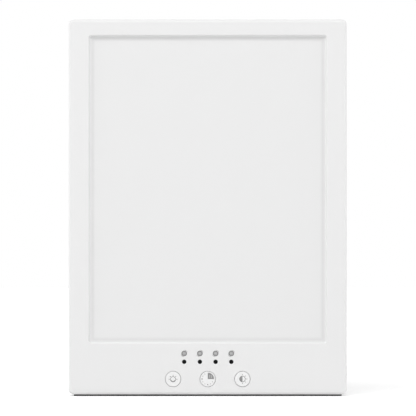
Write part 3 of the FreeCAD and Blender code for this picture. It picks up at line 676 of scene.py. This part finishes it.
def text_mesh(words, height, centre, front):
    """Numerals as a thin mesh standing upright, facing -Y, centred on a point."""
    curve = bpy.data.curves.new("numeral_line", "FONT")
    curve.body = words
    curve.size = height
    curve.align_x = "CENTER"
    curve.align_y = "CENTER"
    curve.extrude = (NUMERAL_PROUD + INK_ROOT) / 2
    curve.resolution_u = NUMERAL_STEPS
    mesh = real_mesh(bpy.data.objects.new("numeral_line", curve))
    place = Matrix.Translation((centre[0], front - NUMERAL_PROUD + curve.extrude, centre[1]))
    mesh.transform(place @ Matrix.Rotation(math.pi / 2, 4, "X"))
    return mesh


def merged(meshes):
    """One mesh from several."""
    form = bmesh.new()
    for mesh in meshes:
        form.from_mesh(mesh)
        bpy.data.meshes.remove(mesh)
    bmesh.ops.remove_doubles(form, verts=form.verts, dist=PRINT_WELD)
    return form


def middle_of(node):
    """Middle of a node, as x and z."""
    low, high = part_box(node)
    return ((low.x + high.x) / 2, (low.z + high.z) / 2)


def ink_depth(front):
    """Front and back of a printed layer."""
    return (front - INK_PROUD, front + INK_ROOT)


def print_power_symbol():
    """Small sun: a ring, heavier below, and five rays round its upper half."""
    centre = middle_of("power_button")
    centre = (centre[0], centre[1] - POWER_DROP)
    depth = ink_depth(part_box("power_button")[0].y)
    form = bmesh.new()
    raise_arc(form, centre, *POWER_RING, math.radians(-25), math.radians(230), depth)
    raise_arc(form, centre, *POWER_BOWL, math.radians(205), math.radians(130), depth)
    for degrees in (0, 45, 90, 135, 180):
        raise_stroke(form, centre, math.radians(degrees), *POWER_RAYS, POWER_RAY_WIDTH, depth)
    finished(form, "power_symbol", ink, "power_key")


def print_timer_symbol():
    """Clock face: a filled first quarter with a pale numeral, and dots for the later hours."""
    centre = middle_of("timer_button")
    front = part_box("timer_button")[0].y
    depth = ink_depth(front)
    form = bmesh.new()
    raise_shape(form, [centre] + arc_points(centre, CLOCK_RADIUS, 0, FULL_TURN / 4), depth)
    for hour in range(4, 12):
        angle = math.radians(90 - 30 * hour)
        across, up = HOUR_CIRCLE * math.cos(angle), HOUR_CIRCLE * math.sin(angle)
        radius = LARGE_HOUR_DOTS.get(hour, HOUR_DOT)
        raise_dot(form, (centre[0] + across, centre[1] + up), radius, depth)
    finished(form, "timer_symbol", ink, "timer_key")
    spot = (centre[0] + CLOCK_NUMERAL[0], centre[1] + CLOCK_NUMERAL[1])
    numeral = merged([text_mesh(MINUTES[0], CLOCK_NUMERAL_HEIGHT, spot, front)])
    finished(numeral, "timer_symbol_numeral", ink_pale, "timer_key")


def print_brightness_symbol():
    """Disc filled on its left half, with rays above, below and to the right."""
    centre = middle_of("brightness_button")
    depth = ink_depth(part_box("brightness_button")[0].y)
    top, half_turn = math.pi / 2, math.pi
    form = bmesh.new()
    raise_shape(form, arc_points(centre, DISC_RING[1], top, half_turn), depth)
    raise_arc(form, centre, *DISC_RING, -top, half_turn, depth)
    for degrees, end in DISC_RAY_ENDS.items():
        angle = math.radians(degrees)
        raise_stroke(form, centre, angle, DISC_RAY_START, end, DISC_RAY_WIDTH, depth)
    finished(form, "brightness_symbol", ink, "brightness_key")


def print_minute_marks():
    """Four round marks with their minutes, and the dark rims of the windows under them."""
    row_x, row_z = middle_of("indicator_lenses")
    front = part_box("front_bezel")[0].y
    depth = ink_depth(front)
    windows, rims, fields, sweeps = (bmesh.new() for _ in range(4))
    numerals = []
    for i, words in enumerate(MINUTES):
        x = row_x + (i - (len(MINUTES) - 1) / 2) * INDICATOR_PITCH
        spot = (x, row_z + MARK_RISE)
        raise_arc(windows, (x, row_z), WINDOW_RADIUS, WINDOW_RIM_RADIUS, 0, FULL_TURN, depth)
        raise_arc(rims, spot, *MARK_RIM, 0, FULL_TURN, depth)
        raise_dot(fields, spot, MARK_RIM[0], depth)
        for degrees in SWEEP_STARTS:
            raise_arc(sweeps, spot, *MARK_SWEEP, math.radians(degrees), SWEEP_TURN, depth)
        numerals.append(text_mesh(words, MARK_NUMERAL_HEIGHT, spot, front))
    finished(windows, "indicator_rims", ink_dark, "case")
    finished(rims, "minute_mark_rims", ink_mark, "case")
    finished(fields, "minute_mark_fields", ink_fill, "case")
    finished(sweeps, "minute_mark_sweeps", ink_sweep, "case")
    finished(merged(numerals), "minute_mark_numerals", ink_pale, "case")


# Pieces that repeat


def block(tree, **size):
    """A block round the origin."""
    return add(tree, "GeometryNodeMeshCube", {"Size": vector_of(tree, **size)}).outputs["Mesh"]


def round_bar(tree, sides, radius, length):
    """A round bar along Z, round the origin."""
    values = {"Vertices": sides, "Radius": radius, "Depth": length}
    return add(tree, "GeometryNodeMeshCylinder", values).outputs["Mesh"]


def wound(tree, bed, turns, rise, wire, steps, sides):
    """A wire wound up along Z, turn by turn, on a round bed."""
    climb = {"Resolution": steps, "Rotations": turns, "Height": rise}
    path = add(tree, "GeometryNodeCurveSpiral", {"Start Radius": bed, "End Radius": bed, **climb})
    size = {"Resolution": sides, "Radius": wire}
    section = add(tree, "GeometryNodeCurvePrimitiveCircle", size, mode="RADIUS")
    swept = {"Curve": path.outputs[0], "Profile Curve": section.outputs[0], "Fill Caps": True}
    return add(tree, "GeometryNodeCurveToMesh", swept).outputs[0]


def moved(tree, shape, **offset):
    """A shape shifted along x, y and z."""
    place = {"Geometry": shape, "Translation": vector_of(tree, **offset)}
    return add(tree, "GeometryNodeTransform", place).outputs[0]


def joined(tree, *shapes):
    """Several shapes as one."""
    whole = add(tree, "GeometryNodeJoinGeometry")
    for shape in shapes:
        tree.links.new(shape, whole.inputs[0])
    return whole.outputs[0]


def shared(tree, *shapes):
    """What several shapes have in common."""
    node = add(tree, "GeometryNodeMeshBoolean", operation="INTERSECT")
    for shape in shapes:
        tree.links.new(shape, node.inputs["Mesh 2"])
    return node.outputs[0]


def cut(tree, shape, *tools):
    """A shape with others cut out of it."""
    node = add(tree, "GeometryNodeMeshBoolean", {"Mesh 1": shape}, operation="DIFFERENCE")
    for tool in tools:
        tree.links.new(tool, node.inputs["Mesh 2"])
    return node.outputs[0]


def coated(tree, shape, finish):
    """A shape in one finish."""
    values = {"Geometry": shape, "Material": finish}
    return add(tree, "GeometryNodeSetMaterial", values).outputs[0]


def planted(tree, points, shape, turn=(0.0, 0.0, 0.0)):
    """A real copy of a shape on every point, turned."""
    values = {"Points": points, "Instance": shape, "Rotation": turn}
    rows = add(tree, "GeometryNodeInstanceOnPoints", values)
    return add(tree, "GeometryNodeRealizeInstances", {"Geometry": rows.outputs[0]}).outputs[0]


def new_tree(name, sizes):
    """Geometry tree with named sizes, which takes in and gives back geometry."""
    inputs = {"Geometry": ("Geometry", None), **sizes}
    return new_group(name, "GeometryNodeTree", inputs, {"Geometry": "Geometry"})


def make_screw_rows():
    """Screws with a cross recess and a thread, one on each point, each turned its own way."""
    sizes = {
        "Head Radius": ("Float", 2.75 * MM),
        "Head Height": ("Float", 2.0 * MM),
        "Shank Radius": ("Float", 1.45 * MM),
        "Shank Length": ("Float", 12.0 * MM),
        "Thread Pitch": ("Float", 0.65 * MM),
        "Recess Width": ("Float", 0.8 * MM),
        "Seed": ("Int", 3),
        "Finish": ("Material", None),
    }
    tree, given, result = new_tree("screw_rows", sizes)
    height, radius = given["Head Height"], given["Head Radius"]
    half = math_node(tree, "MULTIPLY", height, 0.5)
    slab = moved(tree, round_bar(tree, 32, radius, height), z=half)
    ball = add(tree, "GeometryNodeMeshUVSphere", {"Segments": 32, "Rings": 24, "Radius": radius})
    squeeze = vector_of(tree, x=1.0, y=1.0, z=math_node(tree, "DIVIDE", height, radius))
    dome = add(tree, "GeometryNodeTransform", {"Geometry": ball.outputs["Mesh"], "Scale": squeeze})
    reach = math_node(tree, "MULTIPLY", radius, CROSS_SHARE)
    width = given["Recess Width"]
    arms = (block(tree, x=reach, y=width, z=height), block(tree, x=width, y=reach, z=height))
    recess = [moved(tree, arm, z=height) for arm in arms]
    head = cut(tree, shared(tree, slab, dome.outputs[0]), *recess)
    core = math_node(tree, "MULTIPLY", given["Shank Radius"], CORE_SHARE)
    length = given["Shank Length"]
    down = math_node(tree, "MULTIPLY", length, -0.5)
    shank = moved(tree, round_bar(tree, 20, core, length), z=down)
    turns = math_node(tree, "DIVIDE", length, given["Thread Pitch"])
    rise = math_node(tree, "MULTIPLY", length, THREAD_SHARE)
    ridge = math_node(tree, "SUBTRACT", given["Shank Radius"], core)
    back = math_node(tree, "MULTIPLY", length, -THREAD_START)
    thread = moved(tree, wound(tree, core, turns, rise, ridge, 16, 4), z=back)
    ends = {2: 0.0, 3: math.pi, "Seed": given["Seed"]}
    spin = add(tree, "FunctionNodeRandomValue", ends, data_type="FLOAT")
    turn = vector_of(tree, x=-math.pi / 2, y=spin.outputs[1])
    screws = planted(tree, given["Geometry"], joined(tree, thread, shank, head), turn)
    tree.links.new(coated(tree, screws, given["Finish"]), result["Geometry"])
    return tree


def make_lamp_rows():
    """Row of light-emitting chips: a pale frame with a sunk phosphor window, along +Z."""
    sizes = {
        "Count": ("Int", 26),
        "Pitch": ("Float", 9.0 * MM),
        "Rise": ("Float", 0.8 * MM),
        "Width": ("Float", 1.4 * MM),
        "Length": ("Float", 3.0 * MM),
        "Rim": ("Float", 0.22 * MM),
        "Facing": ("Float", 1.0),
        "Frame Finish": ("Material", None),
        "Window Finish": ("Material", None),
    }
    tree, given, result = new_tree("lamp_rows", sizes)
    rise, rim, width, length = (given[label] for label in ("Rise", "Rim", "Width", "Length"))
    inner = {
        "y": math_node(tree, "MULTIPLY_ADD", rim, -2.0, width),
        "z": math_node(tree, "MULTIPLY_ADD", rim, -2.0, length),
    }
    sunk = math_node(tree, "MULTIPLY", math_node(tree, "SUBTRACT", rise, rim), given["Facing"])
    well = moved(tree, block(tree, x=rise, **inner), x=sunk)
    shell = block(tree, x=rise, y=width, z=length)
    cup = coated(tree, cut(tree, shell, well), given["Frame Finish"])
    drop = math_node(tree, "MULTIPLY", rim, -LAMP_SINK)
    level = math_node(tree, "MULTIPLY_ADD", rise, 0.5, drop)
    level = math_node(tree, "MULTIPLY", level, given["Facing"])
    window = moved(tree, block(tree, x=rim, **inner), x=level)
    window = coated(tree, window, given["Window Finish"])
    steps = math_node(tree, "SUBTRACT", given["Count"], 1.0)
    whole = math_node(tree, "MULTIPLY", steps, given["Pitch"])
    first = vector_of(tree, z=math_node(tree, "MULTIPLY", whole, -0.5))
    row = {"Count": given["Count"], "Start Location": first}
    row["Offset"] = vector_of(tree, z=given["Pitch"])
    line = add(tree, "GeometryNodeMeshLine", row, mode="OFFSET")
    lamps = planted(tree, line.outputs[0], joined(tree, window, cup))
    tree.links.new(lamps, result["Geometry"])
    return tree


def make_wire_turns():
    """Wire wound on a tube, turn by turn along +Y, from each point."""
    sizes = {
        "Drum Radius": ("Float", 3.6 * MM),
        "Outer Radius": ("Float", 5.6 * MM),
        "Length": ("Float", 4.3 * MM),
        "Wire Radius": ("Float", 0.24 * MM),
        "Finish": ("Material", None),
    }
    tree, given, result = new_tree("wire_turns", sizes)
    wire, length = given["Wire Radius"], given["Length"]
    bed = math_node(tree, "SUBTRACT", given["Outer Radius"], wire)
    rise = math_node(tree, "MULTIPLY_ADD", wire, -2.0, length)
    turns = math_node(tree, "DIVIDE", rise, math_node(tree, "MULTIPLY", wire, 2.0))
    coil = moved(tree, wound(tree, bed, turns, rise, wire, 40, 8), z=wire)
    through = math_node(tree, "MULTIPLY", length, 2.0)
    bore = round_bar(tree, 40, given["Drum Radius"], through)
    tube = cut(tree, round_bar(tree, 40, bed, length), bore)
    tube = moved(tree, tube, z=math_node(tree, "MULTIPLY", length, 0.5))
    coils = planted(tree, given["Geometry"], joined(tree, coil, tube), (-math.pi / 2, 0, 0))
    tree.links.new(coated(tree, coils, given["Finish"]), result["Geometry"])
    return tree


def make_leg_rows():
    """Bent legs of a chip, one on each point, out along a turned +X and down to the board."""
    sizes = {
        "Reach": ("Float", 1.0 * MM),
        "Shoulder": ("Float", 0.8 * MM),
        "Width": ("Float", 0.3 * MM),
        "Thickness": ("Float", 0.15 * MM),
        "Turn": ("Float", 0.0),
        "Finish": ("Material", None),
    }
    tree, given, result = new_tree("leg_rows", sizes)
    width, thickness, high = given["Width"], given["Thickness"], given["Shoulder"]
    half = math_node(tree, "MULTIPLY", given["Reach"], 0.5)
    quarter = math_node(tree, "MULTIPLY", half, 0.5)
    far = math_node(tree, "ADD", half, quarter)
    middle = math_node(tree, "MULTIPLY", high, 0.5)
    low = math_node(tree, "MULTIPLY", thickness, 0.5)
    shoulder = moved(tree, block(tree, x=half, y=thickness, z=width), x=quarter, y=high)
    shin = moved(tree, block(tree, x=thickness, y=high, z=width), x=half, y=middle)
    toe = moved(tree, block(tree, x=half, y=thickness, z=width), x=far, y=low)
    turn = vector_of(tree, y=given["Turn"])
    legs = planted(tree, given["Geometry"], joined(tree, shoulder, shin, toe), turn)
    tree.links.new(coated(tree, legs, given["Finish"]), result["Geometry"])
    return tree


def grown(tree, points, **values):
    """Mesh that a node tree grows on some points, with its named inputs set."""
    seed_mesh = bpy.data.meshes.new("points")
    seed_mesh.from_pydata(points, [], [])
    holder = bpy.data.objects.new("points", seed_mesh)
    modifier = holder.modifiers.new("grow", "NODES")
    modifier.node_group = tree
    inputs = [item for item in tree.interface.items_tree if item.in_out == "INPUT"]
    keys = {item.name: item.identifier for item in inputs}
    for label, value in values.items():
        modifier[keys[titled(label)]] = value
    return real_mesh(holder)


def island_boxes(node):
    """Low and high corner of each separate solid in a node's mesh, in a fixed order."""
    form = bmesh.new()
    form.from_mesh(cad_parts[node].data)
    bmesh.ops.remove_doubles(form, verts=form.verts, dist=SOLID_WELD)
    left = set(form.verts)
    boxes = []
    while left:
        reach = [left.pop()]
        for vert in reach:
            for edge in vert.link_edges:
                other = edge.other_vert(vert)
                if other in left:
                    left.remove(other)
                    reach.append(other)
        low = Vector([min(v.co[i] for v in reach) for i in range(3)])
        high = Vector([max(v.co[i] for v in reach) for i in range(3)])
        boxes.append((low, high))
    form.free()
    return sorted(boxes, key=lambda box: tuple(round(c, 5) for c in box[0]))


def set_screws(name, node, shank_radius, head_height, recess_width, seed):
    """Detailed screws in the places of a node's plain ones."""
    boxes = island_boxes(node)
    low, high = boxes[0]
    seat = high.y - head_height
    points = [((a.x + b.x) / 2, seat, (a.z + b.z) / 2) for a, b in boxes]
    mesh = grown(
        screw_rows, points, head_radius=(high.x - low.x) / 2, head_height=head_height,
        shank_radius=shank_radius, shank_length=seat - low.y,
        thread_pitch=shank_radius * THREAD_RISE, recess_width=recess_width, seed=seed,
        finish=zinc,
    )
    piece = piece_of(mesh, name, None, "case")
    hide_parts(node)


def set_lamps(name, node, facing):
    """Detailed light-emitting chips in the places of a node's plain ones."""
    boxes = island_boxes(node)
    low, high = boxes[0]
    size = high - low
    pitch = (boxes[-1][0].z - low.z) / (len(boxes) - 1)
    mesh = grown(
        lamp_rows, [(0, 0, 0)], count=len(boxes), pitch=pitch, rise=size.x, width=size.y,
        length=size.z, facing=facing, frame_finish=lamp_frame, window_finish=phosphor,
    )
    whole_low, whole_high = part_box(node)
    mesh.transform(Matrix.Translation((whole_low + whole_high) / 2))
    piece = piece_of(mesh, name, None, "case")
    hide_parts(node)


def wind_inductor():
    """Wound wire in the place of the inductor's plain winding."""
    low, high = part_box("inductor_winding")
    start = ((low.x + high.x) / 2, low.y, (low.z + high.z) / 2)
    mesh = grown(
        wire_turns, [start], drum_radius=DRUM_RADIUS, outer_radius=(high.x - low.x) / 2,
        length=high.y - low.y, wire_radius=WIRE_RADIUS, finish=copper,
    )
    piece = piece_of(mesh, "inductor_turns", None, "case")
    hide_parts("inductor_winding")


def set_chip_legs():
    """Tinned legs along the sides of the board's chips; the largest has them on all four."""
    boxes = island_boxes("board_chips")
    largest = max(high.x - low.x for low, high in boxes)
    meshes = []
    for low, high in boxes:
        size = high.x - low.x
        sides = 4 if size > largest - LEG_WIDTH else 2
        pitch = LEG_PITCH[sides]
        count = int((size - pitch) / pitch)
        for side in range(sides):
            turn = side * FULL_TURN / sides
            out = Vector((math.cos(turn), 0, -math.sin(turn)))
            along = Vector((math.sin(turn), 0, math.cos(turn)))
            edge = (low + high) / 2 + out * size / 2
            edge.y = low.y
            points = [tuple(edge + along * (i - (count - 1) / 2) * pitch) for i in range(count)]
            meshes.append(grown(
                leg_rows, points, reach=LEG_REACH, shoulder=(high.y - low.y) / 2,
                width=LEG_WIDTH, thickness=LEG_WIDTH / 2, turn=turn, finish=tin,
            ))
    finished(merged(meshes), "chip_legs", tin, "case")


print_power_symbol()
print_timer_symbol()
print_brightness_symbol()
print_minute_marks()

screw_rows = make_screw_rows()
lamp_rows = make_lamp_rows()
wire_turns = make_wire_turns()
leg_rows = make_leg_rows()
for screw_kind in SCREW_KINDS:
    set_screws(*screw_kind)
set_lamps("left_edge_lamps", "edge_lights_left", 1.0)
set_lamps("right_edge_lamps", "edge_lights_right", -1.0)
wind_inductor()
set_chip_legs()


# Studio


def seen_by_eye(tree):
    """1 for what the camera sees, straight, mirrored or through glass."""
    rays = add(tree, "ShaderNodeLightPath").outputs
    seen = math_node(tree, "MAXIMUM", rays["Is Camera Ray"], rays["Is Glossy Ray"])
    return math_node(tree, "MAXIMUM", seen, rays["Is Transmission Ray"])


def lay_floor():
    """Pale floor, lifted to white for the eye, that keeps the lamp's shadow."""
    form = bmesh.new()
    bmesh.ops.create_grid(form, x_segments=1, y_segments=1, size=FLOOR_SIZE / 2)
    mesh = bpy.data.meshes.new("studio_floor")
    form.to_mesh(mesh)
    form.free()
    floor = bpy.data.objects.new("studio_floor", mesh)
    bpy.context.scene.collection.objects.link(floor)
    material = bpy.data.materials.new("studio_floor_paper")
    material.use_nodes = True
    tree = material.node_tree
    tree.nodes.clear()
    tone = (FLOOR_TONE, FLOOR_TONE, FLOOR_TONE, 1.0)
    paper = add(tree, "ShaderNodeBsdfDiffuse", {"Color": tone})
    place = add(tree, "ShaderNodeTexCoord").outputs["Object"]
    reach = add(tree, "ShaderNodeVectorMath", {0: place}, operation="LENGTH").outputs["Value"]
    lift = ranged(tree, reach, *FLOOR_FADE, FLOOR_LIFT, FLOOR_FAR_LIFT)
    lift = math_node(tree, "MULTIPLY", seen_by_eye(tree), lift)
    glow = add(tree, "ShaderNodeEmission", {"Strength": lift})
    both = add(tree, "ShaderNodeAddShader", {0: paper.outputs[0], 1: glow.outputs[0]})
    add(tree, "ShaderNodeOutputMaterial", {"Surface": both.outputs[0]})
    mesh.materials.append(material)


def light_studio():
    """White room, brighter at its sides and behind, and one large soft lamp above the camera."""
    world = bpy.data.worlds.new("studio_world")
    bpy.context.scene.world = world
    world.use_nodes = True
    tree = world.node_tree
    way = add(tree, "ShaderNodeTexCoord").outputs["Generated"]
    sideways = axis_of(tree, way, "X")
    backwards = math_node(tree, "MAXIMUM", axis_of(tree, way, "Y"), 0.0)
    on_right = math_node(tree, "GREATER_THAN", sideways, 0.0)
    gain = math_node(tree, "MULTIPLY_ADD", on_right, ROOM_RIGHT, ROOM_SIDES)
    side = math_node(tree, "MULTIPLY", sideways, sideways)
    room = math_node(tree, "MULTIPLY_ADD", side, gain, ROOM_LIGHT)
    behind = math_node(tree, "MULTIPLY", backwards, backwards)
    room = math_node(tree, "MULTIPLY_ADD", behind, ROOM_BACK, room)
    values = {0: seen_by_eye(tree), 2: room, 3: 1.0}
    strength = add(tree, "ShaderNodeMix", values, data_type="FLOAT")
    background = tree.nodes["Background"]
    background.inputs["Color"].default_value = (1, 1, 1, 1)
    tree.links.new(strength.outputs[0], background.inputs["Strength"])
    lamp = bpy.data.lights.new("studio_softbox", "AREA")
    lamp.shape = "SQUARE"
    lamp.size = LAMP_SIZE
    # Power at which a white face turned to the lamp shows that share of white
    lamp.energy = LAMP_SHARE * (math.pi * LAMP_DISTANCE) ** 2
    holder = bpy.data.objects.new("studio_softbox", lamp)
    bpy.context.scene.collection.objects.link(holder)
    aim = Vector((0, 0, VIEW_CENTRE[1]))
    flat = math.cos(LAMP_ELEVATION)
    across, forward = flat * math.sin(LAMP_SIDEWAYS), -flat * math.cos(LAMP_SIDEWAYS)
    away = Vector((across, forward, math.sin(LAMP_ELEVATION)))
    holder.location = aim + away * LAMP_DISTANCE
    holder.rotation_euler = away.to_track_quat("Z", "Y").to_euler()


def place_camera():
    """Level camera, square to the light window."""
    camera = bpy.data.cameras.new("photo_camera")
    camera.sensor_width = SENSOR
    camera.lens = SENSOR * CAMERA_DISTANCE / (PIXEL * PIXELS_ACROSS)
    camera.clip_end = 2 * FLOOR_SIZE
    holder = bpy.data.objects.new("photo_camera", camera)
    bpy.context.scene.collection.objects.link(holder)
    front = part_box("front_bezel")[0].y
    holder.location = (VIEW_CENTRE[0], front - CAMERA_DISTANCE, VIEW_CENTRE[1])
    holder.rotation_euler = (math.pi / 2, 0, 0)
    bpy.context.scene.camera = holder


lay_floor()
light_studio()
place_camera()
bpy.context.scene.view_settings.view_transform = "Standard"
